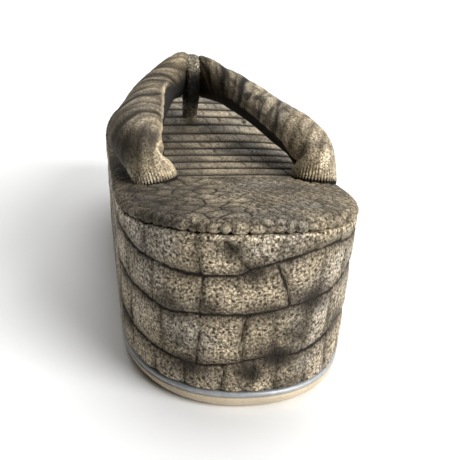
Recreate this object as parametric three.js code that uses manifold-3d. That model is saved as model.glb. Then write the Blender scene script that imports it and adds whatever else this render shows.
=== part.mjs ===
// A zori sandal: a tall leather-wrapped platform on a thin sole, a padded footbed,
// and a padded thong strap that a loop holds down between the toes.
// Millimetres, +Z up, +Y towards the toe, origin on the floor under the sandal's middle.
import * as THREE from 'three';
import { mergeVertices } from 'three/addons/utils/BufferGeometryUtils.js';
import Module from 'manifold-3d';

const wasm = await Module();
wasm.setup();

// Plan of the sandal at the rim, a long oval a little fuller at the ball than at the heel
const LENGTH = 240;
const HEEL_WIDTH = 79;
const BALL_WIDTH = 80;
const BALL_STATION = 149;
const HEEL_ROUND = 60;
const TOE_ROUND = 80;
const HEEL_FULLNESS = 2.25;
const TOE_FULLNESS = 2.2;

// Height of the groove between wall and footbed, and how far it dips in between
const HEEL_RIM = 61.2;
const TOE_RIM = 48.6;
const RIM_SAG = 8.4;

// Layers of the sole, each a level above the floor
const OUTSOLE_TOP = 4.1;
const STRIP_FOOT = 4.4;
const STRIP_TOP = 6.2;
const WALL_FOOT = 6.5;
const TOE_SPRING = 4;
const TOE_SPRING_RUN = 45;

// How far the wall's foot is drawn in from the rim
const WALL_DRAW = { side: 1.9, heel: 7.4, toe: 6.5 };

// Space left between pieces that meet
const GAP = 0.3;

// Points on each stretch of half of the outline
const HEEL_STEPS = 13;
const WAIST_STEPS = 7;
const TOE_STEPS = 15;

// Rounded lower edge of the outsole: level, and draw beyond the wall's foot
const OUTSOLE_EDGE = [
  { level: 0, draw: 4.4 },
  { level: 0.5, draw: 2.7 },
  { level: 1.4, draw: 1.4 },
  { level: 2.6, draw: 0.6 },
  { level: OUTSOLE_TOP, draw: 0.3 },
];

// Thin strip between outsole and wall, standing a hair proud of both
const STRIP_EDGE = [
  { level: STRIP_FOOT, draw: 0.5 },
  { level: (STRIP_FOOT + STRIP_TOP) / 2, draw: 0.1 },
  { level: STRIP_TOP, draw: 0.5 },
];

// Wrapped wall from foot to rim: share of its height, and share of the wall's draw
const WALL = [
  { rise: 0, draw: 1.12 },
  { rise: 0.03, draw: 0.98 },
  { rise: 0.5, draw: 0.42 },
  { rise: 0.97, draw: 0 },
  { rise: 1, draw: 0.1 },
];

// Padded footbed from its lower edge to its crown: draw from the rim, and rise over the groove
const FOOTBED = [
  { draw: 0.9, rise: GAP / 2 },
  { draw: 0.1, rise: 0.8 },
  { draw: 0, rise: 1.5 },
  { draw: 0.7, rise: 2.6 },
  { draw: 2.2, rise: 3.5 },
  { draw: 5, rise: 4.2 },
  { draw: 11, rise: 4.8 },
  { draw: 21, rise: 5.3 },
  { draw: 32, rise: 5.5 },
];
const FOOTBED_TOP = 4.8;

// Each strap from its end in the footbed to its tip under the toe loop.
// station: from the heel, right and left: out from the middle on either side,
// lift: of its centre over the footbed, wide and thick: half sizes of its oval section,
// face: where its padded face looks, on the right side
const STRAP = [
  { station: 70.5, right: 31.2, left: 25.2, lift: -6, wide: 7.2, thick: 8.8, face: [0.25, -1, 0.05] },
  { station: 70.5, right: 31.4, left: 25.4, lift: 0, wide: 7.3, thick: 8.8, face: [0.25, -1, 0.1] },
  { station: 73, right: 32.2, left: 27.8, lift: 5.2, wide: 7.4, thick: 8.2, face: [0.3, -0.85, 0.4] },
  { station: 82, right: 31.6, left: 30.2, lift: 9.8, wide: 8.6, thick: 8, face: [0.4, -0.5, 0.75] },
  { station: 92, right: 30.4, left: 30.6, lift: 11.8, wide: 9.4, thick: 8.1, face: [0.45, -0.3, 0.84] },
  { station: 106, right: 28.2, left: 28.8, lift: 13.2, wide: 9.6, thick: 8, face: [0.5, -0.2, 0.85] },
  { station: 126, right: 24.6, left: 24.8, lift: 15.2, wide: 9, thick: 7.6, face: [0.4, -0.1, 0.86] },
  { station: 150, right: 19.2, left: 19.2, lift: 17.2, wide: 7.8, thick: 7.8, face: [0.1, -0.1, 0.9] },
  { station: 166, right: 13.8, left: 13.6, lift: 18.6, wide: 6.6, thick: 9, face: [-0.25, -0.15, 0.95] },
  { station: 177, right: 8.6, left: 8.4, lift: 19.4, wide: 6, thick: 10.4, face: [-0.25, -0.15, 0.95] },
  { station: 184, right: 4.4, left: 4.4, lift: 19.8, wide: 5.4, thick: 10, face: [-0.15, -0.1, 0.95] },
  { station: 190, right: 1.8, left: 1.8, lift: 20.4, wide: 2.6, thick: 6, face: [0, -0.1, 0.95] },
];
const STRAP_STEPS = 38;
const STRAP_SIDES = 22;

// Round tail of each strap end, through its hole in the footbed
const TAIL = { station: 70.5, right: 31, left: 25.4, halfAcross: 4.5, halfAlong: 4.5, sides: 18, reach: 5 };

// Toe loop in the middle plane, up behind the straps, over them and down in front
const LOOP = [
  { station: 182.2, lift: -4 },
  { station: 181.8, lift: 2 },
  { station: 177.5, lift: 8 },
  { station: 174, lift: 14 },
  { station: 173.2, lift: 21.4 },
  { station: 175.8, lift: 26.4 },
  { station: 181.6, lift: 28.3 },
  { station: 187.2, lift: 27 },
  { station: 190.4, lift: 22.4 },
  { station: 190, lift: 15 },
  { station: 187.6, lift: 8 },
  { station: 186, lift: 2 },
  { station: 185.8, lift: -4 },
];
const LOOP_HALF_WIDTH = 3.2;
const LOOP_HALF_THICK = 1.8;
const LOOP_STEPS = 44;
const LOOP_SIDES = 14;

// Post where the loop's two legs come together and enter the footbed
const POST = { station: 184, halfAcross: 3.5, halfAlong: 4, sides: 20, reach: 5 };

const midY = (station) => station - LENGTH / 2;

function rimHeight(y) {
  const share = y / LENGTH + 0.5;
  return HEEL_RIM + (TOE_RIM - HEEL_RIM) * share - 4 * RIM_SAG * share * (1 - share);
}

function toeLift(y) {
  const share = Math.max(0, (y - LENGTH / 2) / TOE_SPRING_RUN + 1);
  return TOE_SPRING * share * share;
}

// Half outline from heel to toe as { x, y }, drawn in at its heel, sides and toe
function halfOutline({ heel, side, toe }) {
  const full = (station) => {
    const share = THREE.MathUtils.clamp(station / BALL_STATION, 0, 1);
    return THREE.MathUtils.lerp(HEEL_WIDTH, BALL_WIDTH, share) / 2 - side;
  };
  const points = [];
  const roundEnd = (from, length, fullness, angle) => {
    const along = Math.cos(angle) ** (2 / fullness);
    const station = from + length * (1 - along);
    const across = Math.sin(angle) ** (2 / fullness);
    points.push({ x: full(station) * across, y: midY(station) });
  };
  for (let i = 0; i < HEEL_STEPS; i += 1) {
    roundEnd(heel, HEEL_ROUND - heel, HEEL_FULLNESS, (Math.PI / 2) * (i / HEEL_STEPS));
  }
  const toeStart = LENGTH - TOE_ROUND;
  for (let i = 0; i < WAIST_STEPS; i += 1) {
    const station = THREE.MathUtils.lerp(HEEL_ROUND, toeStart, i / WAIST_STEPS);
    points.push({ x: full(station), y: midY(station) });
  }
  for (let i = TOE_STEPS; i >= 0; i -= 1) {
    const angle = (Math.PI / 2) * (i / TOE_STEPS);
    roundEnd(LENGTH - toe, toe - TOE_ROUND, TOE_FULLNESS, angle);
  }
  points.at(-1).x = 0;
  return points;
}

// Whole ring of an outline, anticlockwise from the heel's middle, with a height for each y
function ring(draw, height) {
  const half = halfOutline(draw);
  const right = half.map(({ x, y }) => new THREE.Vector3(x, y, height(y)));
  const left = half.slice(1, -1).reverse().map(({ x, y }) => new THREE.Vector3(-x, y, height(y)));
  return [...right, ...left];
}

function meshGeometry(points, triangles) {
  const geometry = new THREE.BufferGeometry();
  const flat = points.flatMap((point) => [point.x, point.y, point.z]);
  geometry.setAttribute('position', new THREE.Float32BufferAttribute(flat, 3));
  geometry.setIndex(triangles.flat());
  return geometry;
}

// Quads between rings that follow each other, low to high
function ringWalls(count, sides) {
  const triangles = [];
  for (let level = 0; level < count - 1; level += 1) {
    for (let i = 0; i < sides; i += 1) {
      const a = level * sides + i;
      const b = level * sides + ((i + 1) % sides);
      triangles.push([a, b, b + sides], [a, b + sides, a + sides]);
    }
  }
  return triangles;
}

// Solid of outline rings, closed below and above by strips from side to side
function outlineSolid(rings) {
  const sides = rings[0].length;
  const triangles = ringWalls(rings.length, sides);
  const last = (rings.length - 1) * sides;
  for (let i = 0; i < sides / 2; i += 1) {
    const left = (sides - i) % sides;
    const nextLeft = sides - i - 1;
    const strip = [[i, i + 1, nextLeft], [i, nextLeft, left]];
    for (const [a, b, c] of strip.filter((corner) => new Set(corner).size === 3)) {
      triangles.push([c, b, a], [last + a, last + b, last + c]);
    }
  }
  return meshGeometry(rings.flat(), triangles);
}

// Solid of oval sections along a path, closed at both ends by fans
function sweptSolid(sections, sides) {
  const points = sections.flatMap(({ centre, across, along, wide, thick }) => (
    Array.from({ length: sides }, (unused, i) => {
      const angle = (2 * Math.PI * i) / sides;
      return centre.clone()
        .addScaledVector(across, wide * Math.cos(angle))
        .addScaledVector(along, thick * Math.sin(angle));
    })));
  const triangles = ringWalls(sections.length, sides);
  const ends = [points.length, points.length + 1];
  const last = (sections.length - 1) * sides;
  points.push(sections[0].centre, sections.at(-1).centre);
  for (let i = 0; i < sides; i += 1) {
    const next = (i + 1) % sides;
    triangles.push([ends[0], next, i], [ends[1], last + i, last + next]);
  }
  return meshGeometry(points, triangles);
}

function solid(geometry) {
  const bare = geometry.clone();
  bare.deleteAttribute('normal');
  bare.deleteAttribute('uv');
  const merged = mergeVertices(bare, 1e-4);
  return new wasm.Manifold(new wasm.Mesh({
    numProp: 3,
    vertProperties: new Float32Array(merged.attributes.position.array),
    triVerts: new Uint32Array(merged.index.array),
  }));
}

function solidGeometry(manifold) {
  const { vertProperties, triVerts } = manifold.getMesh();
  const geometry = new THREE.BufferGeometry();
  geometry.setAttribute('position', new THREE.BufferAttribute(new Float32Array(vertProperties), 3));
  geometry.setIndex(new THREE.BufferAttribute(new Uint32Array(triVerts), 1));
  return geometry;
}

// Upright round or oval pin from one height to another
function pin({ x, y, from, to, halfAcross, halfAlong, sides }) {
  const shape = new THREE.Shape();
  shape.absellipse(0, 0, halfAcross, halfAlong, 0, 2 * Math.PI);
  const options = { depth: to - from, bevelEnabled: false, curveSegments: sides };
  return new THREE.ExtrudeGeometry(shape, options).translate(x, y, from);
}

const footDraw = (extra) => ({
  side: WALL_DRAW.side + extra,
  heel: WALL_DRAW.heel + extra,
  toe: WALL_DRAW.toe + extra,
});

function soleLayer(edge) {
  return outlineSolid(edge.map(({ level, draw }) => (
    ring(footDraw(draw), (y) => level + toeLift(y)))));
}

function platform() {
  return outlineSolid(WALL.map(({ rise, draw }) => {
    const drawn = {
      side: WALL_DRAW.side * draw,
      heel: WALL_DRAW.heel * draw,
      toe: WALL_DRAW.toe * draw,
    };
    return ring(drawn, (y) => (
      THREE.MathUtils.lerp(WALL_FOOT + toeLift(y), rimHeight(y) - GAP / 2, rise)));
  }));
}

// The footbed, or the same form grown by a clearance, to cut what stands on it
function footbedForm(grow) {
  const rows = FOOTBED.map(({ draw, rise }) => (
    ring({ side: draw - grow, heel: draw - grow, toe: draw - grow }, (y) => rimHeight(y) + rise + grow)));
  if (grow > 0) {
    rows.unshift(ring({ side: 0, heel: 0, toe: 0 }, () => 0));
  }
  return outlineSolid(rows);
}

// Value of a named column between a table's rows, at a place from 0 to 1 along the table
function between(table, column, place) {
  const at = Math.min(place * (table.length - 1), table.length - 1 - 1e-9);
  const row = Math.floor(at);
  return THREE.MathUtils.lerp(table[row][column], table[row + 1][column], at - row);
}

const overFootbed = (station, lift) => rimHeight(midY(station)) + FOOTBED_TOP + lift;

// One strap in the right side's sense, with the outs of its own side
function strapForm(side) {
  const route = new THREE.CatmullRomCurve3(STRAP.map((row) => (
    new THREE.Vector3(row[side], midY(row.station), overFootbed(row.station, row.lift)))));
  const sections = [];
  for (let i = 0; i <= STRAP_STEPS; i += 1) {
    const place = i / STRAP_STEPS;
    const tangent = route.getTangent(place);
    const row = Math.min(Math.floor(place * (STRAP.length - 1)), STRAP.length - 2);
    const face = new THREE.Vector3(...STRAP[row].face)
      .lerp(new THREE.Vector3(...STRAP[row + 1].face), place * (STRAP.length - 1) - row);
    const along = face.addScaledVector(tangent, -face.dot(tangent)).normalize();
    sections.push({
      centre: route.getPoint(place),
      across: new THREE.Vector3().crossVectors(along, tangent),
      along,
      wide: between(STRAP, 'wide', place),
      thick: between(STRAP, 'thick', place),
    });
  }
  return sweptSolid(sections, STRAP_SIDES);
}

// The toe loop's band, or the same band grown by a clearance
function loopForm(grow) {
  const route = new THREE.CatmullRomCurve3(LOOP.map(({ station, lift }) => (
    new THREE.Vector3(0, midY(station), overFootbed(POST.station, lift)))));
  const across = new THREE.Vector3(1, 0, 0);
  const sections = [];
  for (let i = 0; i <= LOOP_STEPS; i += 1) {
    const tangent = route.getTangent(i / LOOP_STEPS);
    sections.push({
      centre: route.getPoint(i / LOOP_STEPS),
      across,
      along: new THREE.Vector3().crossVectors(tangent, across).normalize(),
      wide: LOOP_HALF_WIDTH + grow,
      thick: LOOP_HALF_THICK + grow,
    });
  }
  return sweptSolid(sections, LOOP_SIDES);
}

// Pin that stands clear of the platform's top, or with a clearance the hole that takes it
function seatedPin({ x, station, halfAcross, halfAlong, sides, reach }, grow) {
  const y = midY(station);
  const slope = [rimHeight(y - halfAlong), rimHeight(y + halfAlong)];
  return pin({
    x,
    y,
    from: grow > 0 ? Math.min(...slope) - grow : Math.max(...slope) + GAP,
    to: overFootbed(station, reach),
    halfAcross: halfAcross + grow,
    halfAlong: halfAlong + grow,
    sides,
  });
}

const rightTail = (grow) => seatedPin({ ...TAIL, x: TAIL.right }, grow);
const leftTail = (grow) => seatedPin({ ...TAIL, x: -TAIL.left }, grow);
const postPin = (grow) => seatedPin({ ...POST, x: 0 }, grow);

function footbed() {
  const holes = [rightTail(GAP), leftTail(GAP), postPin(GAP)];
  return holes.reduce((body, hole) => body.subtract(solid(hole)), solid(footbedForm(0)));
}

function straps() {
  const both = solid(strapForm('right')).add(solid(strapForm('left')).mirror([1, 0, 0]));
  const seated = both.subtract(solid(footbedForm(GAP))).subtract(solid(loopForm(GAP)));
  return seated.add(solid(rightTail(0))).add(solid(leftTail(0)));
}

function toeLoop() {
  const standing = solid(loopForm(0)).subtract(solid(footbedForm(GAP)));
  return standing.add(solid(postPin(0)));
}

const leather = { roughness: 0.42, metalness: 0.35 };
const wrapLeather = new THREE.MeshStandardMaterial({ color: 0x8f8468, ...leather });
const footbedLeather = new THREE.MeshStandardMaterial({ color: 0x8a8070, ...leather });
const strapLeather = new THREE.MeshStandardMaterial({ color: 0x7d725c, ...leather });
const stripFoil = new THREE.MeshStandardMaterial({ color: 0xb8bcc2, roughness: 0.35, metalness: 0.4 });
const soleRubber = new THREE.MeshStandardMaterial({ color: 0xc9b79a, roughness: 0.7, metalness: 0 });

function piece(name, geometry, material) {
  const mesh = new THREE.Mesh(geometry, material);
  mesh.name = name;
  return mesh;
}

const sandal = new THREE.Group();
sandal.name = 'zori_sandal';
sandal.add(
  piece('outsole', soleLayer(OUTSOLE_EDGE), soleRubber),
  piece('sole_strip', soleLayer(STRIP_EDGE), stripFoil),
  piece('platform', platform(), wrapLeather),
  piece('footbed', solidGeometry(footbed()), footbedLeather),
  piece('straps', solidGeometry(straps()), strapLeather),
  piece('toe_loop', solidGeometry(toeLoop()), strapLeather),
);

export default sandal;
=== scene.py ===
# %% [markdown]
# # A zori sandal in bronze embossed leather
# The frame already holds the sandal's plain solids: outsole, strip, platform, footbed, straps and toe loop.
# This lesson dresses each of them with a finer mesh that follows the same sizes, and gives it a finish.
# Every size is in millimetres, and becomes metres only when a mesh is made.

# %% Load the frame
import math

import bpy
import numpy as np
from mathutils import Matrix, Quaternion, Vector


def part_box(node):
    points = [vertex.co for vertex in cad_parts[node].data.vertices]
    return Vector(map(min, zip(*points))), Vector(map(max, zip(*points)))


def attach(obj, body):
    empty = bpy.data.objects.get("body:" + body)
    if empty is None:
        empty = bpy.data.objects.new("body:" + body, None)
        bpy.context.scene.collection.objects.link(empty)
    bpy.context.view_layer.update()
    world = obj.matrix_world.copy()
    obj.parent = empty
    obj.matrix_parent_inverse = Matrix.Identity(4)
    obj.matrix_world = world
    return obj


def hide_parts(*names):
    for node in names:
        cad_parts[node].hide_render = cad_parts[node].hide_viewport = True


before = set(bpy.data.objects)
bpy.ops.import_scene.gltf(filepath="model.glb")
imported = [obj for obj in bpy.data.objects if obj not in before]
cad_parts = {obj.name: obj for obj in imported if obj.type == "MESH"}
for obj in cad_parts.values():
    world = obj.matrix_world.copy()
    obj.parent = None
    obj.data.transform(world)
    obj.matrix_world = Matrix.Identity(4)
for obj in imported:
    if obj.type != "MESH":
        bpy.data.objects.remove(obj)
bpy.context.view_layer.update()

MM = 0.001
print("nodes in the frame:", sorted(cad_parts))

# %% [markdown]
# ## The camera
# The photograph looks down on the heel from close behind and a little to the left, so near parts look large.
# A camera could be placed by eye, but its place was worked out from the outlines of rim, sole and straps.
# It keeps that place, turns to the middle of this one sandal, and takes a longer lens to fill the picture.

# %% Camera
CAMERA_SPOT = Vector((-48.7, -336.7, 146.0)) * MM
CAMERA_AIM = Vector((0.0, -60.0, 39.8)) * MM
CAMERA_ROLL = math.radians(2.35)
CAMERA_LENS = 67.4


def make_camera():
    data = bpy.data.cameras.new("camera")
    data.lens = CAMERA_LENS
    data.clip_start = 0.01
    camera = bpy.data.objects.new("camera", data)
    camera.location = CAMERA_SPOT
    camera.rotation_mode = "QUATERNION"
    aim = (CAMERA_AIM - CAMERA_SPOT).to_track_quat("-Z", "Y")
    camera.rotation_quaternion = aim @ Quaternion((0, 0, 1), CAMERA_ROLL)
    bpy.context.collection.objects.link(camera)
    bpy.context.scene.camera = camera
    return camera


camera = make_camera()
print("camera lens", camera.data.lens, "mm")

# %% [markdown]
# ## The plan and the rim
# Seen from above the sandal is a long oval with rounder ends than an ellipse.
# A drawn outline would do, but a formula lets every layer be drawn in by its own amount.
# `turn` runs from 0 at the heel's middle, along the right side to 3 at the toe, and back on the left to 6.

# %% Plan sizes
low_corner, high_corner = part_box("platform")
LENGTH = (high_corner[1] - low_corner[1]) / MM
BALL_WIDTH = (high_corner[0] - low_corner[0]) / MM
HEEL_WIDTH = BALL_WIDTH - 1
BALL_STATION = 149
HEEL_ROUND, HEEL_FULLNESS = 60, 2.25
TOE_ROUND, TOE_FULLNESS = 80, 2.2
HEEL_RIM, TOE_RIM, RIM_SAG = 61.2, 48.6, 8.4
TOE_SPRING, TOE_SPRING_RUN = 4, 45
GAP = 0.3


def plan(turn, heel=0.0, side=0.0, toe=0.0):
    """x and y of the outline at each turn, drawn in at its heel, sides and toe."""
    half_turn = np.where(turn > 3, 6 - turn, turn)
    heel_angle = np.clip(half_turn, 0, 1) * math.pi / 2
    toe_angle = np.clip(3 - half_turn, 0, 1) * math.pi / 2
    heel_station = heel + (HEEL_ROUND - heel) * (1 - np.cos(heel_angle) ** (2 / HEEL_FULLNESS))
    toe_station = LENGTH - toe - (TOE_ROUND - toe) * (1 - np.cos(toe_angle) ** (2 / TOE_FULLNESS))
    waist = HEEL_ROUND + (LENGTH - TOE_ROUND - HEEL_ROUND) * (half_turn - 1)
    station = np.select([half_turn < 1, half_turn > 2], [heel_station, toe_station], waist)
    fullness = np.select(
        [half_turn < 1, half_turn > 2],
        [np.sin(heel_angle) ** (2 / HEEL_FULLNESS), np.sin(toe_angle) ** (2 / TOE_FULLNESS)],
        1.0,
    )
    widening = np.clip(station / BALL_STATION, 0, 1)
    half_width = (HEEL_WIDTH + (BALL_WIDTH - HEEL_WIDTH) * widening) / 2 - side
    return np.where(turn > 3, -1, 1) * half_width * fullness, station - LENGTH / 2


def rim_height(y):
    share = y / LENGTH + 0.5
    return HEEL_RIM + (TOE_RIM - HEEL_RIM) * share - 4 * RIM_SAG * share * (1 - share)


def toe_lift(y):
    return TOE_SPRING * np.maximum(0, (y - LENGTH / 2) / TOE_SPRING_RUN + 1) ** 2


def even_turns(count):
    """Turns that lie evenly round the rim, and each one's way round from the heel, left side negative."""
    turn = np.linspace(0, 6, 12001)
    x, y = plan(turn)
    way = np.concatenate([[0], np.cumsum(np.hypot(np.diff(x), np.diff(y)))])
    steps = way[-1] * np.arange(count) / count
    arc = np.where(steps > way[-1] / 2, steps - way[-1], steps)
    return np.interp(steps, way, turn), arc


rim_turns, rim_arc = even_turns(720)
RIM_POINTS = np.stack(plan(rim_turns), axis=1)
print("rim is", round(2 * rim_arc.max()), "mm round")

# %% [markdown]
# ## From rings to meshes
# Every piece here is a stack of rings: outlines of the sandal, or sections of a strap.
# Quads join one ring to the next, and the two ends are closed, so each piece is a watertight body.
# A relief is a number for each point, and moves it along the surface's own normal.

# %% Mesh helpers
def ring_quads(levels, sides):
    start = np.arange(levels - 1)[:, None] * sides
    near = start + np.arange(sides)[None]
    far = start + (np.arange(sides)[None] + 1) % sides
    return np.stack([near, far, far + sides, near + sides], axis=-1).reshape(-1, 4).tolist()


def strip_cap(first, sides, upward):
    """Strips from the right side to the left, closing an outline ring."""
    faces = []
    for step in range(sides // 2):
        right, next_right = first + step, first + step + 1
        left, next_left = first + (sides - step) % sides, first + sides - step - 1
        corners = list(dict.fromkeys([right, next_right, next_left, left]))
        faces.append(corners if upward else corners[::-1])
    return faces


def surface_normals(rings):
    around = np.roll(rings, -1, axis=1) - np.roll(rings, 1, axis=1)
    along = np.gradient(rings, axis=0)
    normal = np.cross(around, along)
    return normal / np.maximum(np.linalg.norm(normal, axis=2, keepdims=True), 1e-9)


def mesh_piece(name, points, faces, marks):
    """An object of these points in millimetres, with a named number on each point for the finish."""
    mesh = bpy.data.meshes.new(name)
    mesh.from_pydata((points * MM).tolist(), [], faces)
    for mark, values in marks.items():
        layer = mesh.attributes.new(mark, "FLOAT", "POINT")
        layer.data.foreach_set("value", np.ascontiguousarray(values, dtype=np.float32).ravel())
    mesh.shade_smooth()
    piece = bpy.data.objects.new(name, mesh)
    bpy.context.collection.objects.link(piece)
    print(name, "has", len(points), "points and", len(faces), "faces")
    return piece


def outline_piece(name, rings, marks):
    """A piece of outline rings, low to high, closed by strips below and above."""
    levels, sides = rings.shape[:2]
    faces = ring_quads(levels, sides)
    faces += strip_cap(0, sides, upward=False) + strip_cap((levels - 1) * sides, sides, upward=True)
    return mesh_piece(name, rings.reshape(-1, 3), faces, marks)


def tube_piece(name, rings, marks):
    """A piece of closed sections, one after another, with a point in the middle of each end."""
    levels, sides = rings.shape[:2]
    faces = ring_quads(levels, sides)
    start, end = levels * sides, levels * sides + 1
    last = (levels - 1) * sides
    for step in range(sides):
        following = (step + 1) % sides
        faces += [[start, following, step], [end, last + step, last + following]]
    points = np.concatenate([rings.reshape(-1, 3), rings[0].mean(0)[None], rings[-1].mean(0)[None]])
    ends = {mark: np.append(values.ravel(), [values[0].mean(), values[-1].mean()])
            for mark, values in marks.items()}
    return mesh_piece(name, points, faces, ends)


def smooth_rows(rows, steps):
    """A curve through the rows of a table, places first, taken at steps evenly along its length."""
    rows = np.array(rows, dtype=float)
    knots = np.concatenate([[0], np.cumsum(np.linalg.norm(np.diff(rows[:, :3], axis=0), axis=1) ** 0.5)])
    gaps = np.diff(knots)[:, None]
    slopes = np.diff(rows, axis=0) / gaps
    inner = (slopes[:-1] * gaps[1:] + slopes[1:] * gaps[:-1]) / (gaps[1:] + gaps[:-1])
    slopes = np.concatenate([slopes[:1], inner, slopes[-1:]])
    fine = np.linspace(0, knots[-1], 3000)
    row = np.clip(np.searchsorted(knots, fine, side="right") - 1, 0, len(rows) - 2)
    gap = gaps[row]
    t = ((fine - knots[row])[:, None]) / gap
    curve = (rows[row] * (1 + 2 * t) * (1 - t) ** 2 + slopes[row] * gap * t * (1 - t) ** 2
             + rows[row + 1] * t * t * (3 - 2 * t) + slopes[row + 1] * gap * t * t * (t - 1))
    way = np.concatenate([[0], np.cumsum(np.linalg.norm(np.diff(curve[:, :3], axis=0), axis=1))])
    even = np.linspace(0, way[-1], steps)
    return np.stack([np.interp(even, way, column) for column in curve.T], axis=1), even


print("mesh helpers ready")

# %% [markdown]
# ## Patterns pressed into the leather
# The hide is embossed like a reptile's: large plates in rows, small round scales at the flanks.
# Sculpting each scale would take days, and a texture alone leaves the outline smooth.
# So each pattern gives two numbers for a point: how far it is from the nearest groove, and its plate's tint.

# %% Pattern helpers
def smooth_step(value, start, end):
    share = np.clip((value - start) / (end - start), 0, 1)
    return share * share * (3 - 2 * share)


def wander(u, v, size, seed):
    """A smooth random field of about -1 to 1, with lumps of one size."""
    random = np.random.default_rng(seed)
    total = np.zeros(np.broadcast(u, v).shape)
    for _ in range(7):
        angle, phase = random.uniform(0, 2 * math.pi, 2)
        wave = 2 * math.pi / (size * random.uniform(0.7, 1.7))
        total += np.sin((u * math.cos(angle) + v * math.sin(angle)) * wave + phase)
    return total / 3.5


def random_cuts(start, end, shortest, longest, seed):
    """Places from start to end, a random step apart."""
    random = np.random.default_rng(seed)
    cuts = [start]
    while cuts[-1] < end:
        cuts.append(cuts[-1] + random.uniform(shortest, longest))
    return np.array(cuts)


def soft_min(first, second, blend):
    """The smaller of two distances, rounded where they are alike, which rounds a plate's corners."""
    share = np.clip(0.5 + 0.5 * (second - first) / blend, 0, 1)
    return np.maximum(0, second + (first - second) * share - blend * share * (1 - share))


def plate_rows(along, across, lines, cuts, seed, faint=1.0):
    """Border distance and tint of plates: lines part the rows, and fainter cuts part each row's plates."""
    row = sum((across > line).astype(int) for line in lines)
    to_line = np.min([np.abs(across - line) for line in lines], axis=0)
    to_cut = np.full(along.shape, 1e3)
    number = np.zeros(along.shape, dtype=int)
    for which, row_cuts in enumerate(cuts):
        here = row == which
        offset = along[here][:, None] - row_cuts[None]
        to_cut[here] = np.abs(offset).min(axis=1)
        number[here] = (offset > 0).sum(axis=1)
    tints = np.random.default_rng(seed).uniform(-1, 1, (len(cuts), number.max() + 1))
    return soft_min(to_line, to_cut * faint + 0.3 * (faint - 1), 1.2), tints[row, number]


def small_scales(u, v, pitch, seed):
    """Border distance and tint of small round scales, the cells of a jittered hexagonal grid."""
    random = np.random.default_rng(seed)
    columns = np.arange(u.min() - 2 * pitch, u.max() + 2 * pitch, pitch)
    lines = np.arange(v.min() - 2 * pitch, v.max() + 2 * pitch, pitch * 0.87)
    seeds = np.array([(x + pitch * 0.5 * (k % 2), y) for k, y in enumerate(lines) for x in columns])
    seeds += random.uniform(-0.35, 0.35, seeds.shape) * pitch
    tints = random.uniform(-1, 1, len(seeds))
    points = np.stack([u.ravel(), v.ravel()], axis=1)
    border, tint = np.empty(len(points)), np.empty(len(points))
    order = np.argsort(points[:, 1])
    for part in np.array_split(order, max(1, len(points) // 1500)):
        place = points[part]
        near = np.abs(seeds[:, 1] - place[:, 1].mean()) < np.ptp(place[:, 1]) / 2 + 2.5 * pitch
        some, some_tints = seeds[near], tints[near]
        square = ((place[:, None] - some[None]) ** 2).sum(axis=2)
        two = np.argpartition(square, 1, axis=1)[:, :2]
        pair = np.take_along_axis(square, two, axis=1)
        two = np.take_along_axis(two, pair.argsort(axis=1), axis=1)
        between = np.linalg.norm(some[two[:, 0]] - some[two[:, 1]], axis=1)
        border[part] = (pair.max(axis=1) - pair.min(axis=1)) / (2 * between)
        tint[part] = some_tints[two[:, 0]]
    return border.reshape(u.shape), tint.reshape(u.shape)


def embossed(border, depth, width, crown, spread):
    """Relief of a plate: a groove at its border, and a soft crown behind it."""
    return crown * (1 - np.exp(-border / spread)) - depth * np.exp(-((border / width) ** 2))


print("pattern helpers ready")

# %% [markdown]
# ## The speckled foil
# The leather is printed with a pale bronze foil, which wears off in the pits of its grain
# and stays dark in the grooves.
# All the leather shares this, so it is one node group, placed in each leather with its own colours and grain.
# The group reads the points' own numbers: distance to a groove, tint, smudges together with painted shade,
# and the bare dark lining.

# %% Node helpers
def add_node(tree, kind, settings=None, **inputs):
    """A node with its settings and its input values or links, named by socket with _ for a space."""
    made = tree.nodes.new(kind)
    for setting, value in (settings or {}).items():
        setattr(made, setting, value)
    for name, value in inputs.items():
        socket = made.inputs[int(name[1:])] if name[1:].isdigit() else made.inputs[name.replace("_", " ")]
        if isinstance(value, bpy.types.NodeSocket):
            tree.links.new(value, socket)
        else:
            socket.default_value = value
    return made


def ramp(tree, value, start, end, low=0.0, high=1.0):
    """A value carried from start..end to low..high, smoothly."""
    settings = {"interpolation_type": "SMOOTHSTEP"}
    made = add_node(tree, "ShaderNodeMapRange", settings, Value=value, From_Min=start, From_Max=end,
                    To_Min=low, To_Max=high)
    return made.outputs["Result"]


def math_node(tree, operation, first, second):
    made = add_node(tree, "ShaderNodeMath", {"operation": operation, "use_clamp": False}, i0=first, i1=second)
    return made.outputs["Value"]


def mix_colours(tree, share, first, second):
    made = add_node(tree, "ShaderNodeMix", {"data_type": "RGBA"}, i0=share, i6=first, i7=second)
    return made.outputs[2]


def new_group(name, inputs, outputs):
    tree = bpy.data.node_groups.new(name, "ShaderNodeTree")
    for socket, kind, value in inputs:
        made = tree.interface.new_socket(socket, in_out="INPUT", socket_type=kind)
        made.default_value = value
    for socket, kind in outputs:
        tree.interface.new_socket(socket, in_out="OUTPUT", socket_type=kind)
    return tree, tree.nodes.new("NodeGroupInput").outputs, tree.nodes.new("NodeGroupOutput").inputs


print("node helpers ready")

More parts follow.
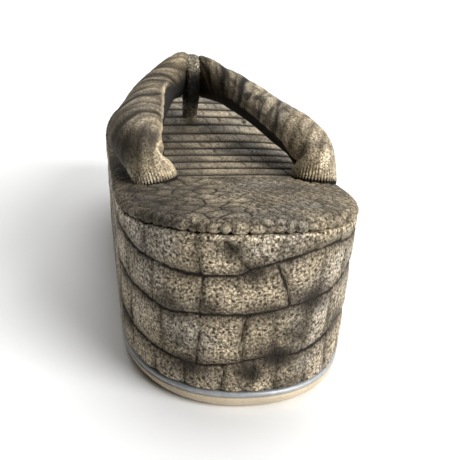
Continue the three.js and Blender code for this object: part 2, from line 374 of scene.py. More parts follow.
# %% Speckled foil group
def make_speckled_foil():
    tree, given, result = new_group(
        "speckled_foil",
        [("Pale", "NodeSocketColor", (0.4, 0.35, 0.27, 1)),
         ("Cool", "NodeSocketColor", (0.36, 0.34, 0.32, 1)),
         ("Deep", "NodeSocketColor", (0.03, 0.025, 0.018, 1)),
         ("Grains", "NodeSocketFloat", 620.0),
         ("Pitted", "NodeSocketFloat", 1.0),
         ("Border", "NodeSocketFloat", 5.0),
         ("Tint", "NodeSocketFloat", 0.0),
         ("Smudge", "NodeSocketFloat", 0.0),
         ("Lining", "NodeSocketFloat", 0.0)],
        [("Color", "NodeSocketColor"), ("Metal", "NodeSocketFloat"),
         ("Roughness", "NodeSocketFloat"), ("Coat", "NodeSocketFloat"), ("Height", "NodeSocketFloat")],
    )
    place = add_node(tree, "ShaderNodeTexCoord").outputs["Object"]
    fine = add_node(tree, "ShaderNodeTexNoise", Vector=place, Detail=2.0,
                    Scale=math_node(tree, "MULTIPLY", given["Grains"], 1.7)).outputs["Fac"]
    cloud = add_node(tree, "ShaderNodeTexNoise", Vector=place, Scale=75.0, Detail=4.0).outputs["Fac"]
    pebbles = add_node(tree, "ShaderNodeTexVoronoi", {"feature": "DISTANCE_TO_EDGE"}, Vector=place,
                       Scale=given["Grains"]).outputs["Distance"]
    pits = add_node(tree, "ShaderNodeTexVoronoi", Vector=place,
                    Scale=math_node(tree, "MULTIPLY", given["Grains"], 0.8)).outputs["Distance"]
    pebble = ramp(tree, pebbles, 0.0, 0.16)
    pit = ramp(tree, pits, 0.14, 0.4)
    grain = math_node(tree, "MULTIPLY", ramp(tree, fine, 0.36, 0.62, 0.2, 1.0), pit)
    grain = math_node(tree, "MULTIPLY", grain, ramp(tree, pebbles, 0.0, 0.1, 0.6, 1.0))
    bare = math_node(tree, "MULTIPLY", math_node(tree, "SUBTRACT", 1.0, grain), given["Pitted"])
    foil = math_node(tree, "SUBTRACT", 1.0, bare)
    worn = ramp(tree, cloud, 0.3, 0.64, 0.6, 1.0)
    shade = math_node(tree, "MULTIPLY_ADD", given["Tint"], 0.16)
    shade.node.inputs[2].default_value = 0.84
    # painted shade: the foil is darkened over about five millimetres towards each groove, for the shade on
    # the plates' rounded sides
    edge = ramp(tree, given["Border"], 0.2, 5.0, 0.38, 1.0)
    cover = math_node(tree, "MULTIPLY", math_node(tree, "MULTIPLY", foil, worn), shade)
    cover = math_node(tree, "MULTIPLY", cover, edge)
    groove = ramp(tree, given["Border"], 0.15, 0.8, 1.0, 0.0)
    # the smudge number holds real smudges and, on the footbed, straps and toe loop, painted shade as well
    rub_and_shade = math_node(tree, "MULTIPLY", given["Smudge"], ramp(tree, cloud, 0.35, 0.6, 1.0, 0.75))
    dirt_and_shade = math_node(tree, "MAXIMUM", groove, rub_and_shade)
    kept = math_node(tree, "MULTIPLY", cover, math_node(tree, "SUBTRACT", 1.0, dirt_and_shade))
    drift = add_node(tree, "ShaderNodeTexNoise", Vector=place, Scale=48.0, Detail=2.0).outputs["Fac"]
    hue = mix_colours(tree, ramp(tree, drift, 0.4, 0.66), given["Pale"], given["Cool"])
    bronze = mix_colours(tree, kept, given["Deep"], hue)
    black = mix_colours(tree, math_node(tree, "MULTIPLY", dirt_and_shade, 0.85), bronze, (0.005, 0.004, 0.003, 1))
    lined = mix_colours(tree, given["Lining"], black, (0.012, 0.010, 0.008, 1))
    tree.links.new(lined, result["Color"])
    shining = math_node(tree, "MULTIPLY", kept, math_node(tree, "SUBTRACT", 1.0, given["Lining"]))
    tree.links.new(math_node(tree, "MULTIPLY", shining, 0.5), result["Metal"])
    tree.links.new(ramp(tree, shining, 0.0, 1.0, 0.75, 0.36), result["Roughness"])
    tree.links.new(math_node(tree, "MULTIPLY", shining, 0.2), result["Coat"])
    height = math_node(tree, "MULTIPLY_ADD", pit, 0.6)
    tree.links.new(math_node(tree, "SUBTRACT", pebble, dirt_and_shade), height.node.inputs[2])
    tree.links.new(height, result["Height"])
    return tree


SPECKLED_FOIL = make_speckled_foil()
print("foil group has", len(SPECKLED_FOIL.nodes), "nodes")


# %% Leather materials
def leather(name, pale, cool, deep, grains, pitted, bump):
    material = bpy.data.materials.new(name)
    material.use_nodes = True
    tree = material.node_tree
    shader = tree.nodes["Principled BSDF"]
    marks = {mark: add_node(tree, "ShaderNodeAttribute", {"attribute_name": mark.lower()}).outputs["Fac"]
             for mark in ("Border", "Tint", "Smudge", "Lining")}
    foil = add_node(tree, "ShaderNodeGroup", {"node_tree": SPECKLED_FOIL}, Pale=(*pale, 1), Cool=(*cool, 1),
                    Deep=(*deep, 1), Grains=grains, Pitted=pitted, **marks)
    tree.links.new(foil.outputs["Color"], shader.inputs["Base Color"])
    tree.links.new(foil.outputs["Metal"], shader.inputs["Metallic"])
    tree.links.new(foil.outputs["Roughness"], shader.inputs["Roughness"])
    relief = add_node(tree, "ShaderNodeBump", Strength=bump, Distance=0.0004, Height=foil.outputs["Height"])
    tree.links.new(relief.outputs["Normal"], shader.inputs["Normal"])
    tree.links.new(foil.outputs["Coat"], shader.inputs["Coat Weight"])
    shader.inputs["Coat Roughness"].default_value = 0.3
    shader.inputs["Specular IOR Level"].default_value = 0.2
    return material


WRAP_LEATHER = leather(
    "wrap_leather", pale=(0.84, 0.70, 0.485), cool=(0.70, 0.62, 0.50), deep=(0.05, 0.036, 0.022),
    grains=700, pitted=1.0, bump=0.7,
)
FOOTBED_LEATHER = leather(
    "footbed_leather", pale=(0.84, 0.69, 0.47), cool=(0.66, 0.59, 0.47), deep=(0.05, 0.037, 0.022),
    grains=800, pitted=0.9, bump=0.6,
)
STRAP_LEATHER = leather(
    "strap_leather", pale=(0.86, 0.70, 0.46), cool=(0.70, 0.60, 0.44), deep=(0.045, 0.031, 0.016),
    grains=800, pitted=0.8, bump=0.5,
)
# painted shade: the loop's leather is a darker copy of the strap leather, for the shade it sits in
SHADED_LOOP_LEATHER = leather(
    "loop_leather", pale=(0.62, 0.53, 0.38), cool=(0.5, 0.45, 0.35), deep=(0.012, 0.01, 0.007),
    grains=900, pitted=0.9, bump=0.5,
)
print("leathers ready:", [finish.name for finish in bpy.data.materials])

# %% [markdown]
# ## Strip and sole finishes
# The strip is a silver-grey covering with a satin sheen, and the sole a matte beige rubber.
# Neither is one flat colour: handling leaves faint clouds, and a moulded edge has a fine tooth.
# A second small group makes the clouds and the tooth, and each material sets its own sizes.

# %% Strip and sole materials
def make_fine_tooth():
    tree, given, result = new_group(
        "fine_tooth",
        [("Light", "NodeSocketColor", (0.6, 0.6, 0.6, 1)), ("Dull", "NodeSocketColor", (0.4, 0.4, 0.4, 1)),
         ("Teeth", "NodeSocketFloat", 900.0)],
        [("Color", "NodeSocketColor"), ("Roughness", "NodeSocketFloat"), ("Height", "NodeSocketFloat")],
    )
    place = add_node(tree, "ShaderNodeTexCoord").outputs["Object"]
    tooth = add_node(tree, "ShaderNodeTexNoise", Vector=place, Scale=given["Teeth"],
                     Detail=2.0).outputs["Fac"]
    cloud = add_node(tree, "ShaderNodeTexNoise", Vector=place, Scale=55.0, Detail=4.0).outputs["Fac"]
    both = math_node(tree, "MULTIPLY_ADD", tooth, 0.35)
    tree.links.new(math_node(tree, "MULTIPLY", cloud, 0.65), both.node.inputs[2])
    colour = mix_colours(tree, ramp(tree, both, 0.38, 0.62), given["Dull"], given["Light"])
    tree.links.new(colour, result["Color"])
    tree.links.new(ramp(tree, cloud, 0.35, 0.65, 0.42, 0.6), result["Roughness"])
    tree.links.new(tooth, result["Height"])
    return tree


FINE_TOOTH = make_fine_tooth()


def toothed(name, light, dull, teeth, bump):
    material = bpy.data.materials.new(name)
    material.use_nodes = True
    tree = material.node_tree
    shader = tree.nodes["Principled BSDF"]
    tooth = add_node(tree, "ShaderNodeGroup", {"node_tree": FINE_TOOTH}, Light=(*light, 1), Dull=(*dull, 1),
                     Teeth=teeth)
    tree.links.new(tooth.outputs["Color"], shader.inputs["Base Color"])
    tree.links.new(tooth.outputs["Roughness"], shader.inputs["Roughness"])
    relief = add_node(tree, "ShaderNodeBump", Strength=bump, Distance=0.0002,
                      Height=tooth.outputs["Height"])
    tree.links.new(relief.outputs["Normal"], shader.inputs["Normal"])
    return material


STRIP_FOIL = toothed("strip_foil", light=(0.39, 0.4, 0.41), dull=(0.28, 0.29, 0.3), teeth=700, bump=0.25)
STRIP_FOIL.node_tree.nodes["Principled BSDF"].inputs["Metallic"].default_value = 0.45
SOLE_RUBBER = toothed("sole_rubber", light=(0.53, 0.44, 0.31), dull=(0.44, 0.36, 0.25), teeth=1100, bump=0.3)
print("strip and sole finishes ready")


# %% Placing a piece
def place_piece(piece, node, material):
    piece.data.materials.append(material)
    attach(piece, "root")
    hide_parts(node)
    print(piece.name, "stands for", node)


# %% [markdown]
# ## The sole
# A thin beige outsole with a rounded lower edge carries a thin strip, which stands a hair proud.
# Both are flat slabs with a shaped edge, so a short table of levels and draws is all that they need.
# The toe curves up a little, as it does on a sandal that has to roll off the ground.

# %% Outsole and strip
WALL_DRAW = {"side": 1.9, "heel": 7.4, "toe": 6.5}
OUTSOLE_EDGE = (
    # level, draw beyond the wall's foot
    (0.0, 6.0), (0.0, 4.4), (0.5, 2.7), (1.4, 1.4), (2.6, 0.6), (3.8, 0.3), (4.25, 0.6), (4.3, 2.0),
)
STRIP_EDGE = (
    (4.35, 2.0), (4.4, 0.7), (4.7, 0.25), (5.3, 0.05), (5.9, 0.25), (6.25, 0.7), (6.3, 2.0),
)
SOLE_SIDES = 480


def sole_layer(name, edge, steps):
    table = [(draw, 0, level) for level, draw in edge]
    profile, _ = smooth_rows(table, steps)
    turns, _ = even_turns(SOLE_SIDES)
    rings = []
    for draw, _, level in profile:
        x, y = plan(turns, **{part: amount + draw for part, amount in WALL_DRAW.items()})
        rings.append(np.stack([x, y, np.maximum(level, 0) + toe_lift(y)], axis=1))
    return outline_piece(name, np.array(rings), {})


outsole = sole_layer("outsole_edge", OUTSOLE_EDGE, 30)
place_piece(outsole, "outsole", SOLE_RUBBER)
strip = sole_layer("sole_strip_edge", STRIP_EDGE, 18)
place_piece(strip, "sole_strip", STRIP_FOIL)

# %% [markdown]
# ## The wrapped wall
# The platform's wall is wrapped in one piece of hide with four rows of large plates.
# The rows' grooves and the plates' cuts round the heel are charted from the photograph,
# in the wall's own sizes.
# Further round they go on in the same rows with cuts a random step apart.

# %% Wall pattern
WALL_FOOT = 6.5
WALL_LINES = (
    # way round from the heel's middle, then the height of the low, middle and high groove
    (-279, 19.0, 34.0, 53.0),
    (-120, 19.0, 34.0, 50.0),
    (-60, 17.0, 33.0, 47.0),
    (-30, 15.4, 31.8, 45.7),
    (-18, 15.4, 33.2, 46.6),
    (-7, 16.4, 34.9, 47.3),
    (-3, 17.4, 35.2, 49.8),
    (6, 19.0, 35.8, 52.1),
    (15, 19.6, 36.5, 54.2),
    (26, 20.4, 38.6, 54.5),
    (38, 24.0, 41.0, 52.0),
    (60, 22.0, 38.0, 52.0),
    (120, 19.0, 34.0, 50.0),
    (279, 19.0, 34.0, 53.0),
)
HEEL_CUTS = (
    # cuts in each row round the heel, lowest row first
    (-36.0, -24.0, -11.2, -1.6, 7.1, 17.8, 29.0),
    (-33.0, -18.6, -4.7, 5.8, 15.2, 27.0),
    (-38.0, -18.3, 20.3, 34.0),
    (-42.0, -19.3, 4.6, 16.1, 27.0, 39.0),
)
SLANT_CUTS = (
    # way round and height of each end
    ((-12.5, 59.5), (-3.0, 48.9)),
    ((4.5, 51.0), (10.0, 36.6)),
)
SMUDGES = (
    # way round, height, reach, strength
    (-22, 14.5, 7, 1.0), (18, 38, 6.5, 1.0), (-2.8, 49, 5.5, 1.0), (6.8, 19.5, 6.5, 1.0), (-1.6, 14, 5, 0.9),
    (-16, 36.5, 4.5, 0.8), (-9, 56, 4, 0.8), (11, 27, 6, 0.7), (-26, 22, 5, 0.6), (-31, 35.6, 6, 0.6),
    (32, 26, 7, 0.8), (12, 8, 6, 0.5),
)


def wall_cuts(row, half_way):
    chart = np.array(HEEL_CUTS[row])
    right = random_cuts(chart[-1], half_way, 10, 21, 20 + row)[1:]
    left = -random_cuts(-chart[0], half_way, 10, 21, 40 + row)[1:]
    return np.concatenate([left[::-1], chart, right])


def to_segment(u, v, start, end):
    (u0, v0), (u1, v1) = start, end
    run, rise = u1 - u0, v1 - v0
    share = np.clip(((u - u0) * run + (v - v0) * rise) / (run * run + rise * rise), 0, 1)
    return np.hypot(u - u0 - share * run, v - v0 - share * rise)


def wall_pattern(arc, height):
    way, *heights = np.array(WALL_LINES).T
    u = arc + 0.9 * wander(arc, height, 17, 1) + 0.2 * wander(arc, height, 3.5, 8)
    v = height + 0.6 * wander(arc, height, 21, 2) + 0.2 * wander(arc, height, 3.5, 9)
    lines = [np.interp(arc, way, line) for line in heights]
    cuts = [wall_cuts(row, way[-1]) for row in range(len(HEEL_CUTS))]
    faint = 1.7 + 0.5 * wander(arc, height, 13, 6)
    border, tint = plate_rows(u, v, lines, cuts, 3, faint)
    for start, end in SLANT_CUTS:
        border = np.minimum(border, to_segment(u, v, start, end))
    border += 0.2 * smooth_step(wander(arc, height, 9, 7), 0.3, 1.0)
    smudge = np.zeros(arc.shape)
    for spot_way, spot_height, reach, strength in SMUDGES:
        far = np.hypot(arc - spot_way, 1.3 * (height - spot_height)) / reach
        smudge = np.maximum(smudge, strength * np.exp(-far ** 2))
    old = smooth_step(wander(arc, height, 30, 4), 0.35, 1.1) * np.exp(-border / 2.5)
    return border, tint, np.maximum(smudge, 0.8 * old)


print("wall rows:", len(HEEL_CUTS), "with", sum(len(row) for row in HEEL_CUTS), "charted cuts")

# %% Wall mesh
WALL_SIDES, WALL_LEVELS = 900, 84
WALL_SHAPE = (0.5, 0.55, 0.6, 3.0)  # groove depth and width, crown and its spread
WALL_WAVE, WALL_INSET = 0.12, 0.45
WALL_CURL = 1.3
CURL_STEPS = 5


def wall_rings():
    turns, arc = even_turns(WALL_SIDES)
    curl = np.linspace(0, math.pi / 2, CURL_STEPS, endpoint=False)
    body = np.linspace(0, 1, WALL_LEVELS)
    rings = []
    for rise, tuck, nudge in (
        [(0, WALL_CURL * (1 - math.sin(a)), -WALL_CURL * (math.cos(a) - 1) - WALL_CURL) for a in curl]
        + [(share, 0, 0) for share in body]
        + [(1, WALL_CURL * (1 - math.cos(a)), WALL_CURL * math.sin(a)) for a in curl[1:]]
        + [(1, WALL_CURL + 0.8, WALL_CURL)]
    ):
        draw = {part: amount * (1 - rise) + tuck for part, amount in WALL_DRAW.items()}
        x, y = plan(turns, **draw)
        foot = WALL_FOOT + WALL_CURL + toe_lift(y)
        rim = rim_height(y) - GAP / 2 - WALL_CURL
        rings.append(np.stack([x, y, foot + (rim - foot) * rise + nudge], axis=1))
    return np.array(rings), np.broadcast_to(arc, (len(rings), WALL_SIDES))


rings, arc = wall_rings()
border, tint, smudge = wall_pattern(arc, rings[..., 2])
relief = embossed(border, *WALL_SHAPE) + WALL_WAVE * wander(arc, rings[..., 2], 6, 5) - WALL_INSET
lip = smooth_step(rings[..., 2] - rim_height(rings[..., 1]), -2.4, -0.9)
# painted highlight: the wall's rounded top edge is made paler, for the light it catches
border, tint = np.maximum(border, 6 * lip), tint + 1.6 * lip
wall = outline_piece("platform_wrap", rings + surface_normals(rings) * relief[..., None],
                     {"border": border, "tint": tint, "smudge": smudge})
place_piece(wall, "platform", WRAP_LEATHER)

# %% [markdown]
# ## The padded footbed
# The top board is padded and covered, so its edge is round and its top a shallow dome.
# Its middle has rows of broad belly scales, about twelve millimetres long.
# The heel and the flanks have small round scales, broader at the left of the heel than at the right.
# Rings that step in from the rim keep the round edge smooth and the scales evenly fine.

# %% Footbed
FOOTBED_EDGE = (
    # draw from the rim, rise over the groove
    (2.5, 0.15), (0.9, 0.15), (0.1, 0.8), (0.0, 1.5), (0.7, 2.6), (2.2, 3.5), (5.0, 4.2), (11.0, 4.8),
    (21.0, 5.3), (32.0, 5.5), (39.0, 5.5),
)
FOOTBED_SIDES, FOOTBED_LEVELS = 900, 72
BELLY_LINES = (-57.5, -45.5, -33.4, -21.2, -9.0, 3.3, 16.0, 31.0, 47.5, 62.0, 76.0, 89.0, 101.0)
FINE_PITCH, BROAD_PITCH = 3.8, 7.0
BELLY_SHAPE = (0.3, 1.5, 0.35, 3.0)
SCALE_SHAPE = (0.2, 0.45, 0.22, 0.8)
FOOTBED_INSET = 0.2


def footbed_pattern(x, y, draw):
    belly_y = y + 0.4 * wander(x, y, 24, 11) + 0.15 * wander(x, y, 4, 17)
    belly_x = x + 0.6 * wander(x, y, 9, 12)
    lines = [np.full(x.shape, line) for line in BELLY_LINES]
    cuts = [random_cuts(-44, 44, 4, 9, 60 + row) for row in range(len(BELLY_LINES) + 1)]
    faint = 5.0 + 2.0 * wander(x, y, 11, 15)
    belly_border, belly_tint = plate_rows(belly_x, belly_y, lines, cuts, 13, faint)
    fine_border, fine_tint = small_scales(x, y, FINE_PITCH, 14)
    broad_border, broad_tint = small_scales(x, y, BROAD_PITCH, 19)
    broad = (-x + 6 * wander(x, y, 16, 16) > 4) & (draw > 4)
    scale_border = np.where(broad, 0.8 * broad_border, fine_border)
    scale_tint = np.where(broad, broad_tint, fine_tint)
    belly = smooth_step(y, -54, -46) * smooth_step(draw, 5, 10)
    lip = smooth_step(draw, 4.5, 1.0)
    relief = (belly * embossed(belly_border, *BELLY_SHAPE)
              + (1 - belly) * (1 + 1.2 * lip) * embossed(scale_border, *SCALE_SHAPE))
    scale_mark = np.where(broad, 0.1, 0.3) + 1.4 * scale_border
    belly_mark = 0.38 * belly_border + 3 * smooth_step(belly_border, 1.2, 4.5)
    border = np.where(belly > 0.5, belly_mark, scale_mark)
    # painted highlight: the footbed's rounded edge is made paler, for the light its scales catch
    tint = np.where(belly > 0.5, 0.3 * belly_tint, 1.2 * scale_tint) + 1.2 * lip
    # painted shade: the left third of the footbed is darkened in tint and smudge, for the shade that falls
    # there
    left = smooth_step(-x, 2, 34) * (1 - 0.5 * lip)
    mottle = smooth_step(wander(x, y, 13, 18), 0.0, 0.9)
    # painted shade: the ribs beside the left strap are darkened, for the strap's shadow
    left_strap_shade = 0.42 * belly * smooth_step(-x, 0, 10)
    smudge = np.max([left * (0.52 + 0.4 * mottle), 0.35 * mottle * (1 - lip), left_strap_shade], axis=0)
    return border, tint - 0.6 * left, smudge, relief


def footbed_rings():
    table = [(draw, 0, rise) for draw, rise in FOOTBED_EDGE]
    profile, _ = smooth_rows(table, FOOTBED_LEVELS)
    turns, _ = even_turns(FOOTBED_SIDES)
    rings = []
    for draw, _, rise in profile:
        x, y = plan(turns, heel=draw, side=draw, toe=draw)
        rings.append(np.stack([x, y, rim_height(y) + rise], axis=1))
    draws = np.broadcast_to(profile[:, :1], (len(rings), FOOTBED_SIDES))
    return np.array(rings), draws


rings, draws = footbed_rings()
border, tint, smudge, relief = footbed_pattern(rings[..., 0], rings[..., 1], draws)
footbed = outline_piece("footbed_cover", rings + surface_normals(rings) * (relief - FOOTBED_INSET)[..., None],
                        {"border": border, "tint": tint, "smudge": smudge})
place_piece(footbed, "footbed", FOOTBED_LEATHER)


def footbed_top(x, y):
    """Height of the footbed's plain surface under each point."""
    edge = np.array(FOOTBED_EDGE[3:])
    draw = np.full(x.shape, 1e3)
    for rim_x, rim_y in RIM_POINTS:
        draw = np.minimum(draw, np.hypot(x - rim_x, y - rim_y))
    return rim_height(y) + np.interp(draw, edge[:, 0], edge[:, 1])


# %% [markdown]
# ## The straps
# The upper is a padded strap on each side, from its gathered foot in the footbed to its tip under the loop.
# A bevelled curve would be quick, but has one round section; here a table gives each section its own oval.
# One table serves both straps, and gives each its own way out from the middle.

# %% Strap route
FOOTBED_TOP = 4.8
STRAP = (
    # station from the heel, out on the right, out on the left, lift over the footbed,
    # half width, half thickness, face x y z
    (70.5, 31.2, 25.2, -6.0, 7.2, 8.8, 0.25, -1.0, 0.05),
    (70.5, 31.4, 25.4, 0.0, 7.3, 8.8, 0.25, -1.0, 0.1),
    (73.0, 32.2, 27.8, 5.2, 7.4, 8.2, 0.3, -0.85, 0.4),
    (82.0, 31.6, 30.2, 9.8, 8.6, 8.0, 0.4, -0.5, 0.75),
    (92.0, 30.4, 30.6, 11.8, 9.4, 8.1, 0.45, -0.3, 0.84),
    (106.0, 28.2, 28.8, 13.2, 9.6, 8.0, 0.5, -0.2, 0.85),
    (126.0, 24.6, 24.8, 15.2, 9.0, 7.6, 0.4, -0.1, 0.86),
    (150.0, 19.2, 19.2, 17.2, 7.8, 7.8, 0.1, -0.1, 0.9),
    (166.0, 13.8, 13.6, 18.6, 6.6, 9.0, -0.25, -0.15, 0.95),
    (177.0, 8.6, 8.4, 19.4, 6.0, 10.4, -0.25, -0.15, 0.95),
    (184.0, 4.4, 4.4, 19.8, 5.4, 10.0, -0.15, -0.1, 0.95),
    (190.0, 1.8, 1.8, 20.4, 2.6, 6.0, 0.0, -0.1, 0.95),
)
STRAP_STEPS, STRAP_SIDES = 260, 264


def over_footbed(station, lift):
    return rim_height(station - LENGTH / 2) + FOOTBED_TOP + lift


def sections(centres, face, wide, thick, sides, squareness=1.0):
    """Rings of ovals along a route; face is where the angle of 90 degrees looks."""
    tangent = np.gradient(centres, axis=0)
    tangent /= np.linalg.norm(tangent, axis=1, keepdims=True)
    face = face - tangent * (face * tangent).sum(axis=1, keepdims=True)
    face /= np.linalg.norm(face, axis=1, keepdims=True)
    across = np.cross(face, tangent)
    angle = np.linspace(0, 2 * math.pi, sides, endpoint=False)
    cosine, sine = np.cos(angle), np.sin(angle)
    over = np.sign(cosine) * np.abs(cosine) ** squareness
    up = np.sign(sine) * np.abs(sine) ** squareness
    return (centres[:, None] + across[:, None] * (wide[:, None] * over)[..., None]
            + face[:, None] * (thick[:, None] * up)[..., None])


def strap_rings(side):
    """Rings of one strap in the right side's sense, with the outs of its own side."""
    rows = []
    for station, right, left, lift, *rest in STRAP:
        out = right if side == "right" else left
        rows.append((out, station - LENGTH / 2, over_footbed(station, lift), *rest))
    route, way = smooth_rows(rows, STRAP_STEPS)
    return sections(route[:, :3], route[:, 5:8], route[:, 3], route[:, 4], STRAP_SIDES), way


print("strap route has", len(STRAP), "sections")

# %% [markdown]
# ## The straps' hide
# Each strap's hide is creased across, speckled, and meets a dark lining underneath in a rolled edge.
# Sculpting by hand would do it once; a chart can be read and changed.
# Creases and dark spots are charted by their turn round the strap and their way up from the foot.
# Fine bands, blotches and the pleats at the foot are worked out from a few sizes.

# %% Strap chart
STRAP_RADIUS = 8.5
CREASES = {
    # half width, strength, then each crease's turn in degrees and way up from the foot
    "right": (
        (2.4, 0.8, (0, 28), (34, 37), (77, 50), (110, 58)),
        (1.6, 0.5, (0, 49), (34, 55), (77, 64), (110, 70)),
        (3.2, 1.0, (0, 70), (21, 74), (47, 78), (90, 86), (120, 90)),
        (3.2, 1.0, (0, 89), (34, 94), (64, 97), (100, 102), (130, 106)),
        (3.4, 1.0, (0, 100), (47, 110), (68, 117), (100, 124)),
    ),
    "left": (
        (2.4, 1.0, (8, 39), (34, 34), (55, 30), (72, 26), (98, 23), (130, 20)),
        (1.8, 0.6, (10, 54), (34, 48), (55, 43), (77, 38), (111, 32), (140, 28)),
        (3.0, 1.0, (10, 72), (34, 65), (55, 57), (77, 52), (90, 47), (111, 42), (140, 36)),
        (2.0, 0.6, (10, 86), (55, 75), (90, 66), (130, 57)),
        (3.2, 1.0, (20, 100), (55, 93), (85, 88), (115, 84), (132, 79), (150, 72)),
        (2.6, 0.8, (20, 116), (60, 108), (100, 102), (140, 94)),
    ),
}
FINE_LEAN = {"right": 11, "left": -14}
DARK_SPOTS = {
    # way up from the foot, turn in degrees, reach along, reach round, strength
    "right": ((57.4, 36, 4.4, 2.3, 0.95), (7.5, 80, 1.3, 9.0, 0.4)),
    "left": ((10.0, 100, 5.5, 13.0, 0.95), (16.0, 165, 7.0, 11.0, 0.95)),
}
LINING_EDGE = {
    # way up from the foot, turn of the lining's inner edge in degrees
    "right": ((0, -12), (10, -24), (24, -26), (44, -24), (69, -14), (91, 8), (108, 20), (130, 28)),
    "left": ((0, -12), (10, -12), (28, -20), (44, -10), (60, 13), (75, 33), (84, 40), (95, 46), (110, 50),
             (130, 54)),
}
ROLL_EDGE = {
    # way up from the foot, turn of the rolled edge beside the lining in degrees
    "right": ((0, -8), (10, -20), (24, -22), (44, -20), (69, -10), (91, 12), (108, 24), (130, 32)),
    "left": ((0, 4), (3.8, 28), (6.5, 32), (9.5, 10), (28, -15), (44, -5), (60, 18), (75, 38), (84, 45),
             (95, 51), (110, 55), (130, 59)),
}
# strength of each strap's rolled edge: its ridge, and the painted highlight along it
ROLL_RIDGE_AND_HIGHLIGHT = {"right": 0.3, "left": 1.0}
LINING_OUTER = ((0, 200), (130, 235))


def turned(angle, zero):
    """The angle from a zero, between half a turn back and half a turn on."""
    return (angle - zero + math.pi) % (2 * math.pi) - math.pi


def edge_turn(table, above):
    way, degrees = np.array(table).T
    return np.radians(np.interp(above, way, degrees))


print("creases charted:", {side: len(rows) for side, rows in CREASES.items()})


# %% Strap creases and lining
def crease_marks(side, angle, above, waver):
    """Strength of the charted creases and of the dark spots."""
    degrees = 90 + np.degrees(turned(angle, math.pi / 2))
    fold = np.zeros(above.shape)
    for half, strength, *chart in CREASES[side]:
        turns, ways = np.array(chart).T
        off = above - np.interp(degrees, turns, ways) + waver
        fold = np.maximum(fold, strength * np.exp(-(off / half) ** 2))
    spot = np.zeros(above.shape)
    for spot_way, spot_turn, reach, round_reach, strength in DARK_SPOTS[side]:
        off = turned(angle, math.radians(spot_turn)) * STRAP_RADIUS
        far = ((above - spot_way + 0.5 * waver) / reach) ** 2 + (off / round_reach) ** 2
        spot = np.maximum(spot, strength * np.exp(-far ** 2))
    return fold, spot


def lining_marks(side, angle, above):
    """Where the lining shows, where the hide's edge is rolled, and the painted shade on the hide beside it.
    """
    inner, outer = edge_turn(LINING_EDGE[side], above), edge_turn(LINING_OUTER, above)
    span = 2 * math.pi + inner - outer
    past = (angle - outer) % (2 * math.pi)
    soft = 0.07 + 0.5 * smooth_step(above, 78, 100)
    lining = smooth_step(past, 0, 0.07) * smooth_step(span - past, 0, soft) * smooth_step(above, 3, 5.5)
    from_roll = turned(angle, edge_turn(ROLL_EDGE[side], above))
    roll = np.exp(-(from_roll / 0.12) ** 2) * smooth_step(above, 1, 4)
    # the roll raises a ridge and, through the tint, carries a painted highlight along the edge
    roll = roll * ROLL_RIDGE_AND_HIGHLIGHT[side] * smooth_step(above, 96, 76)
    # painted shade: the hide is darkened beside the lining on the upper strap, for the shade there
    near = np.exp(-np.maximum(0, turned(angle, inner)) / 0.4) * smooth_step(above, 25, 60) * (1 - roll)
    return lining, roll, near


print("linings charted:", sorted(LINING_EDGE))

# %% Strap relief
PLEATS = 44
PLEAT_REACH = 3.2
BEND_LIFT = 6.5
BAND_SHAPE = (0.1, 0.9, 0.22, 2.6)
CREASE_DEPTH, NOTCH_DEPTH, ROLL_HEIGHT = 0.4, 1.5, 0.35
FULLER, FULL_TURN = {"right": 0.0, "left": 1.7}, 125
# painted highlight: how much paler each strap's foot is made, for the light it catches
HEM_PAINTED_HIGHLIGHT = {"right": 2.6, "left": 1.8}
PAINTED_STRAP_LIGHT_AND_SHADE = {
    # way up from the foot, then how much paler the strap is painted there than the rest: painted light on the
    # right strap, painted shade below zero on the left
    "right": ((6, 0.0), (16, 1.2), (60, 1.4), (90, 0.0)),
    "left": ((6, 0.0), (16, -2.0), (55, -2.0), (75, -1.2), (130, -1.0)),
}
BLOTCH_STRETCH = {"right": (0.7, 1.1), "left": (1.0, 0.4)}


